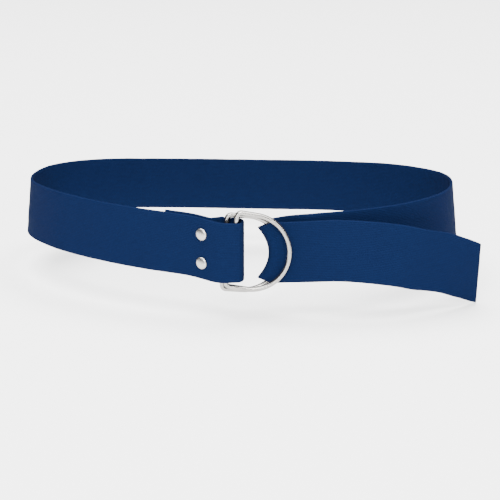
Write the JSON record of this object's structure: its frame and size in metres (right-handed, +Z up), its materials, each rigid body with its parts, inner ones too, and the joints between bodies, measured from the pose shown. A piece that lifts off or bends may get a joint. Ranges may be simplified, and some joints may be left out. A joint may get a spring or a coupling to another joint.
{
  "type": "football belt",
  "caption": "Webbing belt closed in a worn loop: one strap threaded through two D-rings held in its riveted fold, with a free square-cut tail.",
  "frame": {"origin": "middle of the waist opening, at half the height of the strap", "axes": "+X across the waist towards the tail's free end, +Y from the buckle towards the back of the waist, +Z up"},
  "size_m": [0.2958, 0.1528, 0.067],
  "materials": {
    "webbing": "matte navy blue woven webbing with a fine rib and firm selvedges",
    "ring_metal": "polished nickel plate, slightly warm",
    "rivet_metal": "polished nickel-plated domed rivet head"
  },
  "bodies": {
    "root": {"strap": "webbing", "d_ring_front": "ring_metal", "d_ring_back": "ring_metal", "rivet_upper": "rivet_metal", "rivet_lower": "rivet_metal"}
  },
  "joints": []
}
